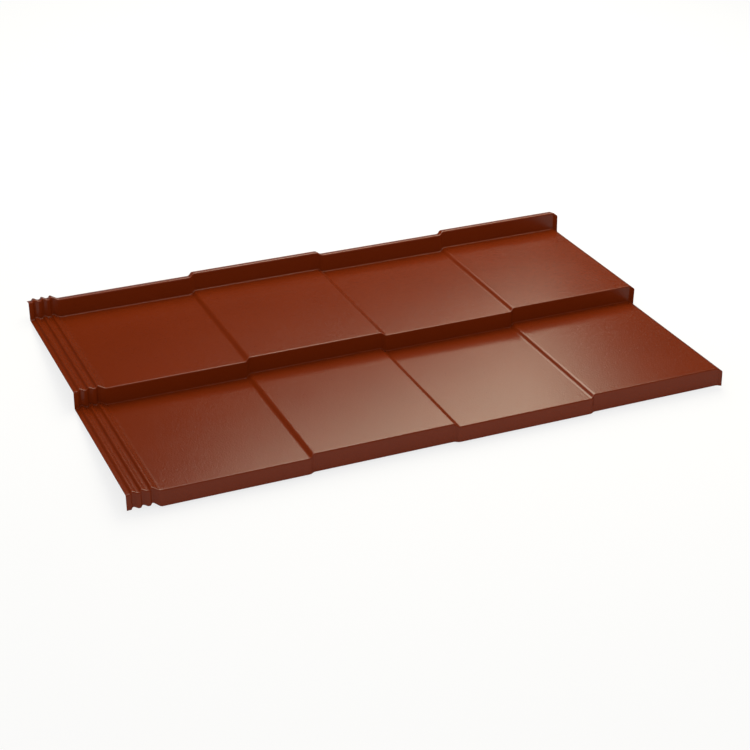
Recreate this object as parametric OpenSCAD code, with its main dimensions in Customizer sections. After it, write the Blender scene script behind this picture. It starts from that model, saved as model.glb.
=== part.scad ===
// Metal roof tile sheet: one coated steel sheet, rolled and pressed into rows of flat tiles.
// Every tile row ends in a pressed step. Along the left edge three small ribs carry the
// overlap of the neighbouring sheet, and the back edge stands up and turns back.
// Millimetres. X runs across the tiles, Y up the roof slope, Z away from the roof.
// The sheet lies on a level floor on its step bends, origin under the middle of its outline.

/* [Tiles] */
// number of tiles side by side
tiles = 4; // [2:1:6]
// distance from one tile to the next across the sheet
tile_pitch = 290; // [200:1:320]
// number of tile rows
rows = 2; // [1:1:4]
// length of a tile from the foot of one step to the top of the next
row_len = 343; // [250:1:400]
// how far every second tile stands above its neighbours
tile_rise = 5.3; // [2:0.1:12]
// how far the front of every raised tile stands behind its neighbours
tile_setback = 5.3; // [0:0.1:12]
// width of the slope between two tiles
ramp_w = 7.6; // [6:0.1:20]
// how much narrower the last tile is than the others
edge_short = 3; // [0:0.5:20]
// how far the right edge dips below a low tile, to close on the next sheet
edge_dip = 0.4; // [0:0.1:2]

/* [Steps] */
// height of a step between two rows
step_h = 36; // [20:0.5:45]
// how far the foot of a step stands behind its top
step_undercut = 1.4; // [0:0.1:4]
// height of the turned down front lip, under a low tile
lip_h = 32.5; // [15:0.5:45]
// how far the edge of the lip stands in front of its top
lip_lean = 1; // [0:0.1:8]
// height of the standing back edge
back_h = 39; // [20:0.5:60]
// how far the top of the standing back edge stands behind its foot
back_lean = 1.6; // [0:0.1:6]
// depth of the strip turned back on top of the standing back edge
return_d = 15; // [5:0.5:40]
// how far the turned back strip falls towards the back
return_fall = 3; // [0:0.1:5]

/* [Overlap ribs] */
// number of overlap ribs
ribs = 3; // [1:1:5]
// flat margin between the left edge and the first rib
edge_flat = 8.6; // [4:0.1:20]
// distance from rib to rib
rib_pitch = 17.5; // [16:0.5:30]
// width of the steep left flank of a rib
flank_w = 3.2; // [3:0.1:4]
// width of the crest of a rib
crest_w = 2.6; // [2:0.1:3]
// width of the gentle right flank of a rib
fall_w = 6.8; // [5:0.1:7]
// width of the long slope from the last rib down to the first tile
run_out_w = 11.9; // [8:0.1:30]
// height of the rib crests above a low tile
crest_h = 5.6; // [3:0.1:10]
// height of the flats between the ribs above a low tile
valley_h = 2.6; // [0:0.1:6]
// how much shorter the front lip is under the ribs
rib_lip_cut = 2; // [0:0.5:10]

/* [Steel] */
// thickness of the steel with its coating
steel_t = 0.5; // [0.4:0.05:1]
// length by which the top bend of a step or lip is rounded at each side of its corner
nose_bend = 2.5; // [1.5:0.1:5]
// the same for the bend at the foot of a step or of the back edge
foot_bend = 2.5; // [1.5:0.1:5]
// the same for the bend on top of the standing back edge
back_bend = 4; // [1.5:0.1:4.5]
// length by which the bends along the ribs are rounded at each side of a corner
rib_bend = 1.2; // [0.5:0.1:1.5]

/* [Hidden] */
steel_red = [0.45, 0.18, 0.08];
bend_steps = 4;
fold_steps = 2;
// the bends beside a tile have more room than those of a rib, which never meet
ramp_bend = min(ramp_w / 2.5, 3);
valley_w = rib_pitch - flank_w - crest_w - fall_w;
fold = min(rib_bend, 0.48 * min(flank_w, crest_w, valley_w));

// the left margin and the ribs, as [x, height] corners
first_tile_x = edge_flat + (ribs - 1) * rib_pitch + flank_w + crest_w + run_out_w;
rib_corners = [
    for (k = [0 : ribs - 1], c = [0 : 3])
        let (x = edge_flat + k * rib_pitch,
             last = k == ribs - 1)
        c == 0 ? [x, valley_h]
        : c == 1 ? [x + flank_w, crest_h]
        : c == 2 ? [x + flank_w + crest_w, crest_h]
        : last ? [first_tile_x, 0] : [x + flank_w + crest_w + fall_w, valley_h]
];

// the slopes between the tiles, and the one at the right edge, as [x, height] corners
function tile_level(k) = k % 2 == 0 ? 0 : tile_rise;
first_ramp_x = first_tile_x + tile_pitch - ramp_w / 2;
tile_corners = [
    for (k = [1 : tiles], side = [0, 1])
        let (last = k == tiles,
             x = first_ramp_x + (k - 1) * tile_pitch + (side - 0.5) * ramp_w)
        [x - (last ? edge_short : 0),
         side == 0 ? tile_level(k - 1) : last ? -edge_dip : tile_level(k)]
];

// a corner across the sheet: [x, setback, height, height of the lip's edge, bend length]
setback_ratio = tile_setback / tile_rise;
function station(c, lip, bend) = [c[0], c[1] * setback_ratio, c[1], lip, bend];
across = concat(
    [station([0, valley_h], valley_h + rib_lip_cut, 0)],
    [for (c = rib_corners)
        station(c, c[1] == 0 ? 0 : c[1] + rib_lip_cut, c[1] == 0 ? ramp_bend : fold)],
    [for (k = [0 : len(tile_corners) - 1])
        station(tile_corners[k], 0, k == len(tile_corners) - 1 ? 0 : ramp_bend)]
);

// the path of the sheet from back to front, as [y, z, bend length] corners
back_corners = [
    [back_lean + return_d, back_h - return_fall, 0],
    [back_lean, back_h, back_bend]
];
row_step = row_len - step_undercut;
row_corners = [
    for (r = [0 : rows - 1], c = [0, 1])
        [-r * row_step - c * row_len, -r * step_h, c == 0 ? foot_bend : nose_bend]
];
lip_corner = [row_corners[len(row_corners) - 1][0] - lip_lean,
              -(rows - 1) * step_h - lip_h, 0];
along = concat(back_corners, row_corners, [lip_corner]);

// rounds the corners of a list of points; the last entry of a point is its bend length
function unit(v) = v / norm(v);
function head(v) = [for (i = [0 : len(v) - 2]) v[i]];
function bend(a, b, c, r, n) =
    let (p = b + unit(a - b) * r, q = b + unit(c - b) * r)
    [for (i = [0 : n]) let (t = i / n) (1 - t) * (1 - t) * p + 2 * t * (1 - t) * b + t * t * q];
function rounded(pts, n) = [
    for (i = [0 : len(pts) - 1])
        let (r = pts[i][len(pts[i]) - 1], b = head(pts[i]))
        each r == 0 ? [b] : bend(head(pts[i - 1]), b, head(pts[i + 1]), r, n)
];
cols = rounded(across, fold_steps);
path = rounded(along, bend_steps);
nc = len(cols);
np = len(path);

// the upper face: each column is the path, moved by the height and setback of the column
function upper(i, j) =
    let (c = cols[i], p = path[j])
    [c[0], p[0] + c[1], j == np - 1 ? p[1] + c[3] : p[1] + c[2]];
function clampi(k, n) = max(0, min(n - 1, k));
function normal_at(i, j) =
    let (u = upper(clampi(i + 1, nc), j) - upper(clampi(i - 1, nc), j),
         v = upper(i, clampi(j - 1, np)) - upper(i, clampi(j + 1, np)))
    unit(cross(u, v));
function lower(i, j) = upper(i, j) - steel_t * normal_at(i, j);

// turns the sheet to lie on its step bends, and puts the origin under its middle
rest_tilt = atan2(step_h, row_step);
function tilted(p) = [p[0],
                      p[1] * cos(rest_tilt) + p[2] * sin(rest_tilt),
                      p[2] * cos(rest_tilt) - p[1] * sin(rest_tilt)];
raw = [for (s = [0, 1], i = [0 : nc - 1], j = [0 : np - 1])
       tilted(s == 0 ? upper(i, j) : lower(i, j))];
xs = [for (p = raw) p[0]];
ys = [for (p = raw) p[1]];
zs = [for (p = raw) p[2]];
middle = [(min(xs) + max(xs)) / 2, (min(ys) + max(ys)) / 2, min(zs)];
points = [for (p = raw) p - middle];

function id(s, i, j) = (s * nc + i) * np + j;
faces = concat(
    [for (i = [0 : nc - 2], j = [0 : np - 2]) each
        [[id(0, i, j), id(0, i + 1, j), id(0, i + 1, j + 1)],
         [id(0, i, j), id(0, i + 1, j + 1), id(0, i, j + 1)],
         [id(1, i, j), id(1, i + 1, j + 1), id(1, i + 1, j)],
         [id(1, i, j), id(1, i, j + 1), id(1, i + 1, j + 1)]]],
    [for (i = [0 : nc - 2]) each
        [[id(0, i, 0), id(1, i, 0), id(1, i + 1, 0)],
         [id(0, i, 0), id(1, i + 1, 0), id(0, i + 1, 0)],
         [id(0, i, np - 1), id(1, i + 1, np - 1), id(1, i, np - 1)],
         [id(0, i, np - 1), id(0, i + 1, np - 1), id(1, i + 1, np - 1)]]],
    [for (j = [0 : np - 2]) each
        [[id(0, 0, j), id(1, 0, j + 1), id(1, 0, j)],
         [id(0, 0, j), id(0, 0, j + 1), id(1, 0, j + 1)],
         [id(0, nc - 1, j), id(1, nc - 1, j), id(1, nc - 1, j + 1)],
         [id(0, nc - 1, j), id(1, nc - 1, j + 1), id(0, nc - 1, j + 1)]]]
);

module tile_sheet() {
    color(steel_red) polyhedron(points, faces, convexity = 6);
}

tile_sheet();
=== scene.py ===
# %% [markdown]
# # A metal roof tile sheet
# One sheet of coated steel, 0.5 mm thick, is rolled and pressed into two rows of flat tiles.
# Every second tile stands a little higher. Each row ends in a pressed step, the left edge has
# three small ribs for the overlap, the back edge stands up and the front edge turns down.
#
# The measured model already holds the sheet at its real size. This lesson presses it once more as
# a fine mesh for the looks, then paints it, and sets up floor, light and camera. Everything is in
# metres, with the floor at height 0.

# %% Load the measured model
import bmesh
import bpy
from math import atan2, pi, radians
from mathutils import Matrix, Vector
from mathutils.bvhtree import BVHTree


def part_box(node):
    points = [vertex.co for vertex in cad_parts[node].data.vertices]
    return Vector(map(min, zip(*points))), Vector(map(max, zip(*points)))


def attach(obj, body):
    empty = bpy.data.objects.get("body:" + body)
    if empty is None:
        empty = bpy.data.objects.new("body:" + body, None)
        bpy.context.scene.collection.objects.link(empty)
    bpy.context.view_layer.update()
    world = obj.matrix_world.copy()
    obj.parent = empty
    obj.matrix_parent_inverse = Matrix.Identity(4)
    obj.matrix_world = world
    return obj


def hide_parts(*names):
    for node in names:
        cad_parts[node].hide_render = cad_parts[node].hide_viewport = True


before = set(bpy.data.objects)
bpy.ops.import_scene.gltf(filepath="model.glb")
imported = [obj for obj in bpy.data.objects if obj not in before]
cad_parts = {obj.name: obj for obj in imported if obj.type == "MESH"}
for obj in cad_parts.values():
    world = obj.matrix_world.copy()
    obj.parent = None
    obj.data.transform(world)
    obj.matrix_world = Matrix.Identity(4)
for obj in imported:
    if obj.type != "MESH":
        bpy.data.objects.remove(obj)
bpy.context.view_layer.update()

MM = 0.001

sheet_low, sheet_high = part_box("tile_sheet")
print("measured sheet, mm:", [round(side / MM, 1) for side in sheet_high - sheet_low])

# %% [markdown]
# ## The two drawings of the sheet
# Two short outlines describe the whole sheet. The first runs from the left edge to the right and
# says how high each fold line is lifted. The second is the path of a low tile from the back edge
# down to the front lip. Pressing lifts the second along the first, which is why a roll former and
# a step press can make this shape from flat coil.
#
# A press tool has few dimensions, and every corner of the sheet follows from them. They are the
# same ones that the measured model is built from, so both sheets come out alike, and a later cell
# tests that.

# %% Fold lines of the overlap ribs, as (x, lift)
RIBS = 3
EDGE_FLAT = 8.6 * MM          # flat margin along the left edge
RIB_PITCH = 17.5 * MM
FLANK_WIDTH = 3.2 * MM        # left flank of a rib
CREST_WIDTH = 2.6 * MM
FALL_WIDTH = 6.8 * MM         # right flank, down to the next valley
RUN_OUT_WIDTH = 11.9 * MM     # right flank of the last rib, down to the first tile
CREST_HEIGHT = 5.6 * MM
VALLEY_HEIGHT = 2.6 * MM

fold_lines = [(0, VALLEY_HEIGHT)]
for rib in range(RIBS):
    foot = EDGE_FLAT + rib * RIB_PITCH
    crest = foot + FLANK_WIDTH
    crest_end = crest + CREST_WIDTH
    fold_lines += [(foot, VALLEY_HEIGHT), (crest, CREST_HEIGHT), (crest_end, CREST_HEIGHT)]
    if rib < RIBS - 1:
        fold_lines.append((crest_end + FALL_WIDTH, VALLEY_HEIGHT))
first_tile = crest_end + RUN_OUT_WIDTH
fold_lines.append((first_tile, 0))
print("fold lines at the ribs:", len(fold_lines), " first tile at, mm:", round(first_tile / MM, 1))

# %% Fold lines of the tiles, as (x, lift)
TILES = 4
TILE_PITCH = 290 * MM
TILE_RISE = 5.3 * MM          # every second tile stands this much higher
RAMP_WIDTH = 7.6 * MM         # from one tile up or down to the next
EDGE_SHORT = 3 * MM           # the last ramp ends this much early,
EDGE_DIP = 0.4 * MM           # and this much below a low tile

for tile in range(1, TILES + 1):
    last = tile == TILES
    ramp = first_tile + tile * TILE_PITCH - RAMP_WIDTH - (EDGE_SHORT if last else 0)
    fold_lines.append((ramp, TILE_RISE * ((tile - 1) % 2)))
    fold_lines.append((ramp + RAMP_WIDTH, -EDGE_DIP if last else TILE_RISE * (tile % 2)))

width = fold_lines[-1][0]
print("fold lines:", len(fold_lines), " width, mm:", round(width / MM, 1))

# %% Bends from back to front, as (y, z) of a low tile
ROWS = 2
ROW_LENGTH = 343 * MM
STEP_HEIGHT = 36 * MM
STEP_UNDERCUT = 1.4 * MM      # the foot of a step stands this much behind its top
LIP_HEIGHT = 32.5 * MM
LIP_LEAN = 1 * MM             # the edge of the lip stands this much in front of its top
BACK_HEIGHT = 39 * MM
BACK_LEAN = 1.6 * MM          # the standing back edge leans back

bends = [(BACK_LEAN, BACK_HEIGHT)]
row_step = ROW_LENGTH - STEP_UNDERCUT
for row in range(ROWS):
    foot = -row * row_step
    bends += [(foot, -row * STEP_HEIGHT), (foot - ROW_LENGTH, -row * STEP_HEIGHT)]
lip_edge = (bends[-1][0] - LIP_LEAN, bends[-1][1] - LIP_HEIGHT)
print("bends:", len(bends), " lip edge, mm:", [round(value / MM, 1) for value in lip_edge])

# %% [markdown]
# ## Choosing by place
# An operator works on what is selected, so each step first lets go of everything and then picks
# points or edges by where they are. Picking by place instead of by number keeps working when the
# mesh grows.

# %% Helpers that pick points and edges
CLOSE = 0.1 * MM


def close(a, b, within=CLOSE):
    return abs(a - b) < within


def pick(part, wanted):
    """Selects the points ("verts") or edges ("edges") for which wanted() is true."""
    bpy.ops.mesh.select_mode(type="VERT" if part == "verts" else "EDGE")
    bpy.ops.mesh.select_all(action="DESELECT")
    mesh = bpy.context.edit_object.data
    form = bmesh.from_edit_mesh(mesh)
    chosen = [item for item in getattr(form, part) if wanted(item)]
    for item in chosen:
        item.select_set(True)
    bmesh.update_edit_mesh(mesh)
    return len(chosen)


def move(x=0, y=0, z=0):
    bpy.ops.transform.translate(value=(x, y, z))


# %% [markdown]
# ## Folding the path
# The sheet starts as the narrow strip that is turned back on top of the standing back edge. Its
# front edge is then extruded from bend to bend: down the back edge, along the first row, down the
# step, along the second row and down the lip. One edge dragged along the path gives clean long
# faces, which a thickened box would not.

# %% Start with the turned back strip
RETURN_DEPTH = 15 * MM
RETURN_FALL = 3 * MM          # its free edge hangs this much lower

bpy.ops.object.select_all(action="DESELECT")
bpy.ops.mesh.primitive_plane_add(
    size=1, location=(width / 2, BACK_LEAN + RETURN_DEPTH / 2, BACK_HEIGHT))
sheet = bpy.context.object
sheet.name = "roof_tile_sheet"
sheet.scale = (width, RETURN_DEPTH, 1)
bpy.ops.object.transform_apply(location=True, rotation=False, scale=True)

bpy.ops.object.mode_set(mode="EDIT")
pick("verts", lambda point: close(point.co.y, BACK_LEAN + RETURN_DEPTH))
move(z=-RETURN_FALL)
print("strip, mm:", round(width / MM, 1), "by", round(RETURN_DEPTH / MM, 1))

# %% Extrude its front edge from bend to bend
pick("edges", lambda edge: all(close(point.co.y, BACK_LEAN) for point in edge.verts))
for (y, z), (next_y, next_z) in zip(bends, bends[1:] + [lip_edge]):
    bpy.ops.mesh.extrude_region_move(
        TRANSFORM_OT_translate={"value": (0, next_y - y, next_z - z)})
print("faces along the path:", len(bmesh.from_edit_mesh(sheet.data).faces))

# %% [markdown]
# ## Raising the tiles and ribs
# The folded strip is cut lengthwise at every fold line, and each line of points is lifted by its
# own amount. A lifted line also moves back by the same amount, because the press sets the front of
# a raised tile a little behind its neighbours. Only the edge of the lip stays level under all the
# tiles, and under the ribs it is cut a little shorter.

# %% Cut at the fold lines
for x, _ in fold_lines[1:-1]:
    bpy.ops.mesh.select_all(action="SELECT")
    bpy.ops.mesh.bisect(plane_co=(x, 0, 0), plane_no=(1, 0, 0))
print("faces after the cuts:", len(bmesh.from_edit_mesh(sheet.data).faces))

# %% Lift each line of points
SETBACK_PER_RISE = 1.0
RIB_LIP_CUT = 2 * MM          # the lip is this much shorter under the ribs

lip_y = lip_edge[0]
for x, lift in fold_lines:
    setback = lift * SETBACK_PER_RISE
    count = pick("verts", lambda point: close(point.co.x, x))
    move(y=setback, z=lift)
    pick("verts", lambda point: close(point.co.x, x) and close(point.co.y, lip_y + setback))
    move(z=RIB_LIP_CUT if x < first_tile - CLOSE else -lift)
print("lifted", len(fold_lines), "lines of", count, "points each")

# %% [markdown]
# ## Rounding the bends
# Coated steel is never bent to a knife edge, because the coat would crack. The folds along the
# sheet are rounded first and the bends across it after them, with the length of bend that the
# press tool leaves on each side of a corner. Bevel in its absolute mode measures along the
# neighbouring edges, so the flat parts keep their exact planes.

# %% Round the folds that run along the sheet
RIB_BEND = 1.2 * MM
RAMP_BEND = 3 * MM
FOLD_STEPS = 4
ROUND_PROFILE = 0.5           # an even round


def runs_along(low_x, high_x):
    """Edges on the fold lines from one place across the sheet up to, but not at, another."""
    def wanted(edge):
        start, end = (point.co.x for point in edge.verts)
        return close(start, end) and low_x - CLOSE < start < high_x - CLOSE
    return wanted


def bevel(length, steps):
    bpy.ops.mesh.bevel(offset_type="ABSOLUTE", offset=length, segments=steps,
                       profile=ROUND_PROFILE, affect="EDGES", clamp_overlap=False)


print("rib folds:", pick("edges", runs_along(EDGE_FLAT, first_tile)))
bevel(RIB_BEND, FOLD_STEPS)
print("tile folds:", pick("edges", runs_along(first_tile, width)))
bevel(RAMP_BEND, FOLD_STEPS)

# %% Round the bends that run across it
BACK_BEND = 4 * MM            # at the top of the back edge
FOOT_BEND = 2.5 * MM          # at the foot of the back edge and of a step
NOSE_BEND = 2.5 * MM          # at the top of a step and of the lip
BEND_STEPS = 8
BEND_SLACK = 0.2 * MM         # rounding the folds moves points a little along the sheet


def on_bend(y, z):
    """Edges on one bend: their points lie back from it by as much as they are lifted."""
    def lies_on(point):
        lift = point.co.z - z
        return (-EDGE_DIP - CLOSE < lift < CREST_HEIGHT + CLOSE
                and close(point.co.y - y, lift * SETBACK_PER_RISE, BEND_SLACK))
    return lambda edge: all(lies_on(point) for point in edge.verts)


bend_lengths = [BACK_BEND] + [FOOT_BEND, NOSE_BEND] * ROWS
for (y, z), length in zip(bends, bend_lengths):
    count = pick("edges", on_bend(y, z))
    bevel(length, BEND_STEPS)
    print(f"bend at y {y / MM:.1f} mm: {count} edges")

# %% [markdown]
# ## From surface to sheet steel
# The surface is the painted upper face. Solidify adds the thickness below it, so the upper face
# stays where it is, and gives the underside and the cut edges material slots of their own: real
# coil is painted on the face, has a plain backing coat underneath, and shows bare dull steel where
# it was cut. Normals are made to point up before that, because Solidify follows them.

# %% Turn the face up
WELD = 0.01 * MM              # points closer than this become one

bpy.ops.mesh.select_all(action="SELECT")
bpy.ops.mesh.remove_doubles(threshold=WELD)
bpy.ops.mesh.normals_make_consistent(inside=False)
form = bmesh.from_edit_mesh(sheet.data)
if sum(face.normal.z * face.calc_area() for face in form.faces) < 0:
    bpy.ops.mesh.flip_normals()
bpy.ops.object.mode_set(mode="OBJECT")
print("faces of the pressed surface:", len(sheet.data.polygons))

# %% Thicken it downwards
STEEL_THICKNESS = 0.5 * MM
BELOW = -1                    # the thickness lies wholly below the face
BACK_SLOT, EDGE_SLOT = 1, 2   # the face itself keeps the first slot, 0

for name in ("red_brown_coat", "backing_coat", "cut_edge"):
    sheet.data.materials.append(bpy.data.materials.new(name))

solid = sheet.modifiers.new("steel", "SOLIDIFY")
solid.thickness = STEEL_THICKNESS
solid.offset = BELOW
solid.use_even_offset = True
solid.material_offset = BACK_SLOT
solid.material_offset_rim = EDGE_SLOT
bpy.ops.object.modifier_apply(modifier=solid.name)
print("faces of the steel sheet:", len(sheet.data.polygons))

# %% [markdown]
# ## Laying it down
# On a level floor the sheet rests on the feet of its two steps, so it lies with its rows a few
# degrees off level. It is turned by that angle and moved until its box meets the box of the
# measured sheet. The turn and the move are applied, which leaves the object itself at the origin.

# %% Turn and place the sheet
rest_tilt = atan2(STEP_HEIGHT, row_step)
sheet.rotation_euler.x = -rest_tilt
bpy.ops.object.transform_apply(location=False, rotation=True, scale=False)


def corners(piece):
    points = [vertex.co for vertex in piece.data.vertices]
    return (Vector(min(point[axis] for point in points) for axis in range(3)),
            Vector(max(point[axis] for point in points) for axis in range(3)))


low, high = corners(sheet)
sheet.location = (sheet_low + sheet_high - low - high) / 2
sheet.location.z = sheet_low.z - low.z
bpy.ops.object.transform_apply(location=True, rotation=False, scale=False)

# %% Measure it against the measured sheet
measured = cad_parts["tile_sheet"]
tree = BVHTree.FromPolygons([vertex.co for vertex in measured.data.vertices],
                            [face.vertices for face in measured.data.polygons])
gaps = [tree.find_nearest(vertex.co)[3] for vertex in sheet.data.vertices]
print(f"tilt {rest_tilt / radians(1):.2f} degrees, furthest from the measured sheet "
      f"{max(gaps) / MM:.2f} mm, on average {sum(gaps) / len(gaps) / MM:.2f} mm")

# %% [markdown]
# ## Smooth bends, flat tiles
# The bends are shaded smooth, while the cut edges stay crisp because they turn by more than the
# given angle. Weighted normals let the large flat faces decide the shading where they meet a bend,
# otherwise every tile would look slightly pillowed along its border.

# %% Shade the sheet
SHARP = radians(35)

bpy.ops.object.shade_smooth_by_angle(angle=SHARP)
weights = sheet.modifiers.new("flat_tiles", "WEIGHTED_NORMAL")
weights.keep_sharp = True
bpy.ops.object.modifier_apply(modifier=weights.name)
print("shaded faces:", len(sheet.data.polygons), " points:", len(sheet.data.vertices))

# %% Hand it to the frame
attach(sheet, "root")
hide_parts("tile_sheet")
print(sheet.name, "now stands for the measured sheet")

# %% [markdown]
# ## Helpers for node trees
# A finish on steel is mostly made of the same few nodes: a noise, a node that stretches it between
# two levels, and a little arithmetic. Each gets a short function here, so that the cells below say
# what the finish does and not how its nodes are wired.

# %% Helpers that add sockets and nodes
def socket(group, name, direction, kind):
    group.interface.new_socket(name=name, in_out=direction, socket_type=kind)


def add_node(tree, kind, **settings):
    node = tree.nodes.new(kind)
    for name, value in settings.items():
        setattr(node, name, value)
    return node


def feed(tree, entry, value):
    """A number is written into the socket, anything else is linked to it."""
    if isinstance(value, (int, float)):
        entry.default_value = value
    else:
        tree.links.new(value, entry)


# %% Helpers for noise and arithmetic
NOISE_ROUGHNESS = 0.55        # how much the finer layers of a noise count
NOISE_RANGE = (0.3, 0.7)      # a noise value hardly ever leaves this


def noise(tree, place, scale, detail):
    node = add_node(tree, "ShaderNodeTexNoise")
    node.inputs["Scale"].default_value = scale
    node.inputs["Detail"].default_value = detail
    node.inputs["Roughness"].default_value = NOISE_ROUGHNESS
    tree.links.new(place, node.inputs["Vector"])
    return node.outputs["Fac"]


def remap(tree, value, low, high):
    """Stretches a noise value, which keeps near its middle, to run between two levels."""
    node = add_node(tree, "ShaderNodeMapRange")
    names = ("Value", "From Min", "From Max", "To Min", "To Max")
    for name, given in zip(names, (value, *NOISE_RANGE, low, high)):
        feed(tree, node.inputs[name], given)
    return node.outputs["Result"]


def math_node(tree, operation, first, second):
    node = add_node(tree, "ShaderNodeMath", operation=operation)
    for entry, value in zip(node.inputs, (first, second)):
        feed(tree, entry, value)
    return node.outputs[0]


# %% [markdown]
# ## The grain of the paint
# A roller coat on steel is never quite even. Close up it has a fine sandy grain over a flat orange
# peel, and the pigment varies by a hair from spot to spot. Both coats of the sheet have it, each
# at its own strength, so it is a node group with named sockets: it gives a height for bump, a
# value for roughness and a tint. The shader stays in the material.

# %% Open the coat grain group
grain = bpy.data.node_groups.new("coat_grain", "ShaderNodeTree")
socket(grain, "Place", "INPUT", "NodeSocketVector")
for name in ("Roughness Low", "Roughness High", "Tint Spread"):
    socket(grain, name, "INPUT", "NodeSocketFloat")
for name in ("Height", "Roughness", "Tint"):
    socket(grain, name, "OUTPUT", "NodeSocketFloat")
given = add_node(grain, "NodeGroupInput").outputs
result = add_node(grain, "NodeGroupOutput").inputs

# %% Wire the grain, the peel and the slow change of pigment
PEEL = (220, 2)       # scale and detail of the orange peel, about 4.5 mm from peak to peak
PEEL_SHARE = 0.3      # its height beside that of the grain
SPECK = (340, 1)      # the sandy grain, about 3 mm from grain to grain
CLOUD = (6, 3)        # the slow change of the pigment along the sheet

peel = noise(grain, given["Place"], *PEEL)
speck = noise(grain, given["Place"], *SPECK)
cloud = noise(grain, given["Place"], *CLOUD)
height = math_node(grain, "ADD", speck, math_node(grain, "MULTIPLY", peel, PEEL_SHARE))
rough = remap(grain, speck, given["Roughness Low"], given["Roughness High"])
cloud_tint = math_node(grain, "MULTIPLY", given["Tint Spread"], remap(grain, cloud, -1, 1))
speck_tint = math_node(grain, "MULTIPLY", given["Tint Spread"], remap(grain, speck, -1, 1))
tint = math_node(grain, "ADD", 1, math_node(grain, "ADD", cloud_tint, speck_tint))
for name, value in (("Height", height), ("Roughness", rough), ("Tint", tint)):
    grain.links.new(value, result[name])
print("coat grain nodes:", len(grain.nodes))

# %% [markdown]
# ## Streaks from the rolling mill
# Steel coil runs through rollers for hundreds of metres, and what the rollers leave behind is
# drawn out along the sheet. The backing coat shows it faintly and the cut edge shows it clearly.
# The group shortens its place along the sheet, so a plain noise turns into long lines.

# %% Build the mill streaks group
STREAK = (420, 3)                   # scale and detail of the noise
STREAK_STRETCH = (1, 0.02, 0.02)    # each streak is fifty times as long as it is wide

streaks = bpy.data.node_groups.new("mill_streaks", "ShaderNodeTree")
socket(streaks, "Place", "INPUT", "NodeSocketVector")
for name in ("Low", "High"):
    socket(streaks, name, "INPUT", "NodeSocketFloat")
socket(streaks, "Streak", "OUTPUT", "NodeSocketFloat")
given = add_node(streaks, "NodeGroupInput").outputs
result = add_node(streaks, "NodeGroupOutput").inputs

stretch = add_node(streaks, "ShaderNodeVectorMath", operation="MULTIPLY")
stretch.inputs[1].default_value = STREAK_STRETCH
streaks.links.new(given["Place"], stretch.inputs[0])
lines = noise(streaks, stretch.outputs[0], *STREAK)
streaks.links.new(remap(streaks, lines, given["Low"], given["High"]), result["Streak"])
print("mill streak nodes:", len(streaks.nodes))

# %% [markdown]
# ## Three finishes
# The upper face is a satin red brown coat. Its colour is deep, and what makes it read as paint
# is the soft highlight that its grain breaks up. The underside has the light grey backing coat
# that coil comes with. The cut edge, half a millimetre wide, is painted in the coat's brown,
# darkened as painted shade, which draws a thin dark line round the sheet. All of them read Object
# coordinates, so the pattern stays on the steel.

# %% Helpers that start a finish
def start_finish(name):
    """Gives a material its nodes, and returns their tree, the Principled shader and the place."""
    material = bpy.data.materials[name]
    material.use_nodes = True
    tree = material.node_tree
    shader = tree.nodes["Principled BSDF"]
    place = add_node(tree, "ShaderNodeTexCoord").outputs["Object"]
    return tree, shader, place


def place_group(tree, group, place, values):
    node = add_node(tree, "ShaderNodeGroup", node_tree=group)
    tree.links.new(place, node.inputs["Place"])
    for name, value in values.items():
        node.inputs[name].default_value = value
    return node.outputs


# %% Helpers that tint and bump it
def tinted(tree, shader, colour, *tints):
    """The colour of the finish, made a little lighter and darker by the tints."""
    colour_now = None
    for tint in tints:
        scale = add_node(tree, "ShaderNodeVectorMath", operation="SCALE")
        if colour_now is None:
            scale.inputs[0].default_value = colour
        else:
            tree.links.new(colour_now, scale.inputs[0])
        tree.links.new(tint, scale.inputs["Scale"])
        colour_now = scale.outputs[0]
    tree.links.new(colour_now, shader.inputs["Base Color"])


def bumped(tree, shader, height, strength, depth):
    bump = add_node(tree, "ShaderNodeBump")
    bump.inputs["Strength"].default_value = strength
    bump.inputs["Distance"].default_value = depth
    tree.links.new(height, bump.inputs["Height"])
    tree.links.new(bump.outputs["Normal"], shader.inputs["Normal"])


# %% The red brown coat on the face
RED_BROWN = (0.16, 0.018, 0.0012)
COAT_GRAIN = {"Roughness Low": 0.19, "Roughness High": 0.22, "Tint Spread": 0.03}
COAT_BUMP = (1, 0.25 * MM)          # strength and height
COAT_GLOSS = 0.64                   # a little above that of plain paint, 0.5

tree, shader, place = start_finish("red_brown_coat")
coat = place_group(tree, grain, place, COAT_GRAIN)
tinted(tree, shader, RED_BROWN, coat["Tint"])
tree.links.new(coat["Roughness"], shader.inputs["Roughness"])
bumped(tree, shader, coat["Height"], *COAT_BUMP)
shader.inputs["Specular IOR Level"].default_value = COAT_GLOSS
print("red brown coat nodes:", len(tree.nodes))

# %% The backing coat underneath
BACKING_GREY = (0.46, 0.47, 0.45)
BACKING_GRAIN = {"Roughness Low": 0.45, "Roughness High": 0.55, "Tint Spread": 0.03}
BACKING_STREAKS = {"Low": 0.97, "High": 1.03}
BACKING_BUMP = (0.5, 0.02 * MM)

tree, shader, place = start_finish("backing_coat")
coat = place_group(tree, grain, place, BACKING_GRAIN)
mill = place_group(tree, streaks, place, BACKING_STREAKS)
tinted(tree, shader, BACKING_GREY, coat["Tint"], mill["Streak"])
tree.links.new(coat["Roughness"], shader.inputs["Roughness"])
bumped(tree, shader, coat["Height"], *BACKING_BUMP)
print("backing coat nodes:", len(tree.nodes))

# %% The cut edge
# painted shade: the coat's brown darkened, so the cut edge reads as a thin dark line
SHADED_EDGE_BROWN = (0.05, 0.012, 0.006)
EDGE_STREAKS = {"Low": 0.7, "High": 1.2}
EDGE_ROUGHNESS = 0.5

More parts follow.
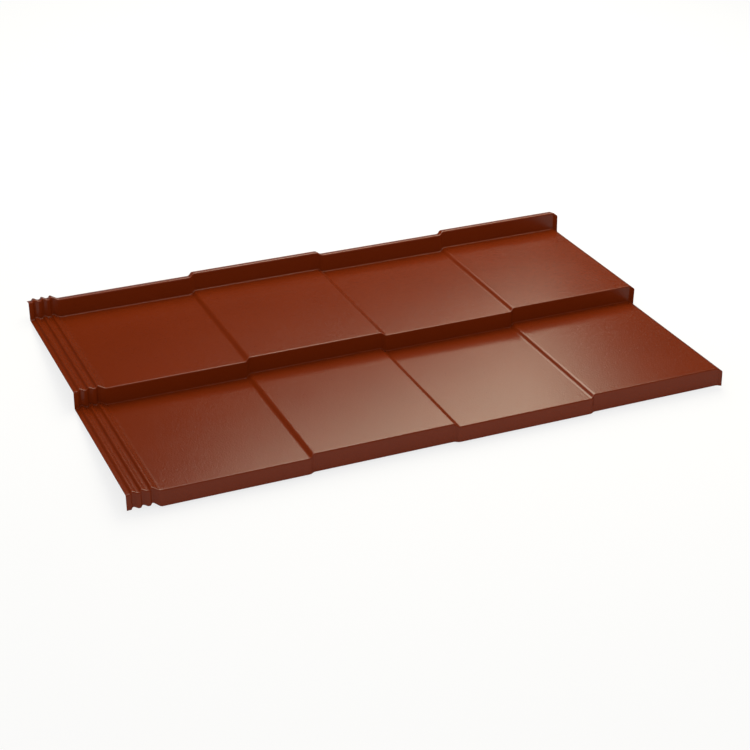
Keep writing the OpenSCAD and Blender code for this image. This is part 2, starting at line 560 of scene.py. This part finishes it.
tree, shader, place = start_finish("cut_edge")
mill = place_group(tree, streaks, place, EDGE_STREAKS)
tinted(tree, shader, SHADED_EDGE_BROWN, mill["Streak"])
rough = math_node(tree, "MULTIPLY", mill["Streak"], EDGE_ROUGHNESS)
tree.links.new(rough, shader.inputs["Roughness"])
print("cut edge nodes:", len(tree.nodes))

# %% [markdown]
# ## Floor and white surroundings
# The sheet lies on a plain pale floor. To the camera the floor and the world are almost pure
# white, and the floor still keeps the soft shadow of the sheet. The coat is a mirror too, though a
# weak one. Beside a white wall it would look milky, and here it is deep right up to its borders,
# so what it mirrors beside the lamps is a dim studio with a dim floor. The Light Path node knows
# which kind of ray asks, and picks between the two.

# %% Helpers that pick a shader by the kind of ray
WHITE = 1.0


def choose(tree, share, first, second):
    node = add_node(tree, "ShaderNodeMixShader")
    for entry, value in zip(node.inputs, (share, first, second)):
        tree.links.new(value, entry)
    return node.outputs[0]


def plain_shader(tree, kind, grey, strength=None):
    node = add_node(tree, kind)
    node.inputs["Color"].default_value = (grey, grey, grey, 1)
    if strength is not None:
        node.inputs["Strength"].default_value = strength
    return node.outputs[0]


# %% Lay the floor
FLOOR_SIZE = 30
FLOOR_PALE = 0.88         # its own colour, a pale grey
FLOOR_MIRRORED = 0.21     # how pale the coat sees the floor
FLOOR_GLOW = 0.75         # share of plain white in what the camera sees of it

bpy.ops.mesh.primitive_plane_add(size=FLOOR_SIZE, location=(0, 0, 0))
floor = bpy.context.object
floor.name = "floor"

paint = bpy.data.materials.new("pale_floor")
paint.use_nodes = True
tree = paint.node_tree
tree.nodes.clear()
surface = add_node(tree, "ShaderNodeOutputMaterial")
seen = add_node(tree, "ShaderNodeLightPath").outputs
matt = choose(tree, seen["Is Glossy Ray"],
              plain_shader(tree, "ShaderNodeBsdfDiffuse", FLOOR_PALE),
              plain_shader(tree, "ShaderNodeBsdfDiffuse", FLOOR_MIRRORED))
glow = math_node(tree, "MULTIPLY", seen["Is Camera Ray"], FLOOR_GLOW)
white = plain_shader(tree, "ShaderNodeEmission", WHITE, 1)
tree.links.new(choose(tree, glow, matt, white), surface.inputs["Surface"])
floor.data.materials.append(paint)
print("floor side, m:", FLOOR_SIZE)

# %% Fill the world with soft light
SOFT_LIGHT = 0.735        # what lights the sheet from all sides
DIM_STUDIO = 0.004        # what the coat mirrors beside the lamps
BACKDROP = 1              # what the camera sees: plain white

world = bpy.data.worlds.new("studio")
bpy.context.scene.world = world
world.use_nodes = True
tree = world.node_tree
tree.nodes.clear()
surface = add_node(tree, "ShaderNodeOutputWorld")
seen = add_node(tree, "ShaderNodeLightPath").outputs
lit = choose(tree, seen["Is Glossy Ray"],
             plain_shader(tree, "ShaderNodeBackground", WHITE, SOFT_LIGHT),
             plain_shader(tree, "ShaderNodeBackground", WHITE, DIM_STUDIO))
backdrop = plain_shader(tree, "ShaderNodeBackground", WHITE, BACKDROP)
plain = math_node(tree, "MAXIMUM", seen["Is Camera Ray"], seen["Is Transmission Ray"])
tree.links.new(choose(tree, plain, lit, backdrop), surface.inputs["Surface"])
print("world:", world.name, " soft light:", SOFT_LIGHT)

# %% [markdown]
# ## Lamps
# A large softbox stands behind the sheet to the right and leans over it. The flat tiles mirror it
# towards the camera, and that is the broad highlight on the front row and its tail on the back
# row. Another hangs higher. The tiles at the left mirror it faintly, and the round bends are
# turned far enough to draw it as thin light lines. A weak warm strip higher still adds a little
# light all over. A lamp that is mirrored like this is placed by angle: the highlight moves with
# the angle, and how broad and soft it is comes from the lamp's size and distance.

# %% Hang the softboxes
def softbox(name, azimuth, elevation, distance, size, roll, brightness, colour):
    """An area lamp that faces the middle of the sheet, turned about its own axis by roll."""
    direction = (Matrix.Rotation(radians(-azimuth), 3, "Z")
                 @ Matrix.Rotation(radians(elevation), 3, "X") @ Vector((0, 1, 0)))
    lamp = bpy.data.lights.new(name, "AREA")
    lamp.shape = "RECTANGLE"
    lamp.size, lamp.size_y = size
    lamp.energy = brightness * pi * size[0] * size[1]    # so a larger lamp looks as bright
    lamp.color = colour
    holder = bpy.data.objects.new(name, lamp)
    bpy.context.collection.objects.link(holder)
    aim = direction.to_track_quat("Z", "Y").to_matrix().to_4x4()
    holder.matrix_world = (Matrix.Translation(direction * distance) @ aim
                           @ Matrix.Rotation(radians(roll), 4, "Z"))
    holder.visible_camera = False
    print(name, "power, W:", round(lamp.energy, 1))


softbox("key_softbox", azimuth=37.5, elevation=47.4, distance=2.18, size=(1.31, 1.88),
        roll=36.6, brightness=3.0, colour=(1.0, 0.95, 0.72))
softbox("strip_softbox", azimuth=22.7, elevation=74.8, distance=1.6, size=(3.7, 0.8),
        roll=23, brightness=0.3, colour=(1.0, 0.83, 0.52))
softbox("overhead_softbox", azimuth=15, elevation=63, distance=2.0, size=(1.11, 1.73),
        roll=0, brightness=1.8, colour=(1.0, 0.97, 0.85))

# %% [markdown]
# ## Camera
# The camera stands to the left in front of the sheet and looks down on it through a long lens, so
# the rows stay nearly parallel. It is set up square to the tile rows and then tipped with them by
# the angle at which the sheet rests.

# %% Place the camera
AZIMUTH = radians(-23.4)                    # from the front, to the left
ELEVATION = radians(27.3)                   # above the plane of the rows
ROLL = radians(0.076)
DISTANCE = 3.44
AIM = Vector((-0.0358, -0.1134, 0.0197))    # the point it looks at
LENS = 84.37

camera_data = bpy.data.cameras.new("camera")
camera_data.lens = LENS
camera = bpy.data.objects.new("camera", camera_data)
bpy.context.collection.objects.link(camera)
turn = (Matrix.Rotation(-rest_tilt, 4, "X") @ Matrix.Rotation(AZIMUTH, 4, "Z")
        @ Matrix.Rotation(radians(90) - ELEVATION, 4, "X") @ Matrix.Rotation(ROLL, 4, "Z"))
camera.matrix_world = Matrix.Translation(AIM + turn @ Vector((0, 0, DISTANCE))) @ turn
bpy.context.scene.camera = camera
bpy.context.scene.view_settings.view_transform = "Standard"
print("camera at, m:", [round(value, 3) for value in camera.matrix_world.translation])
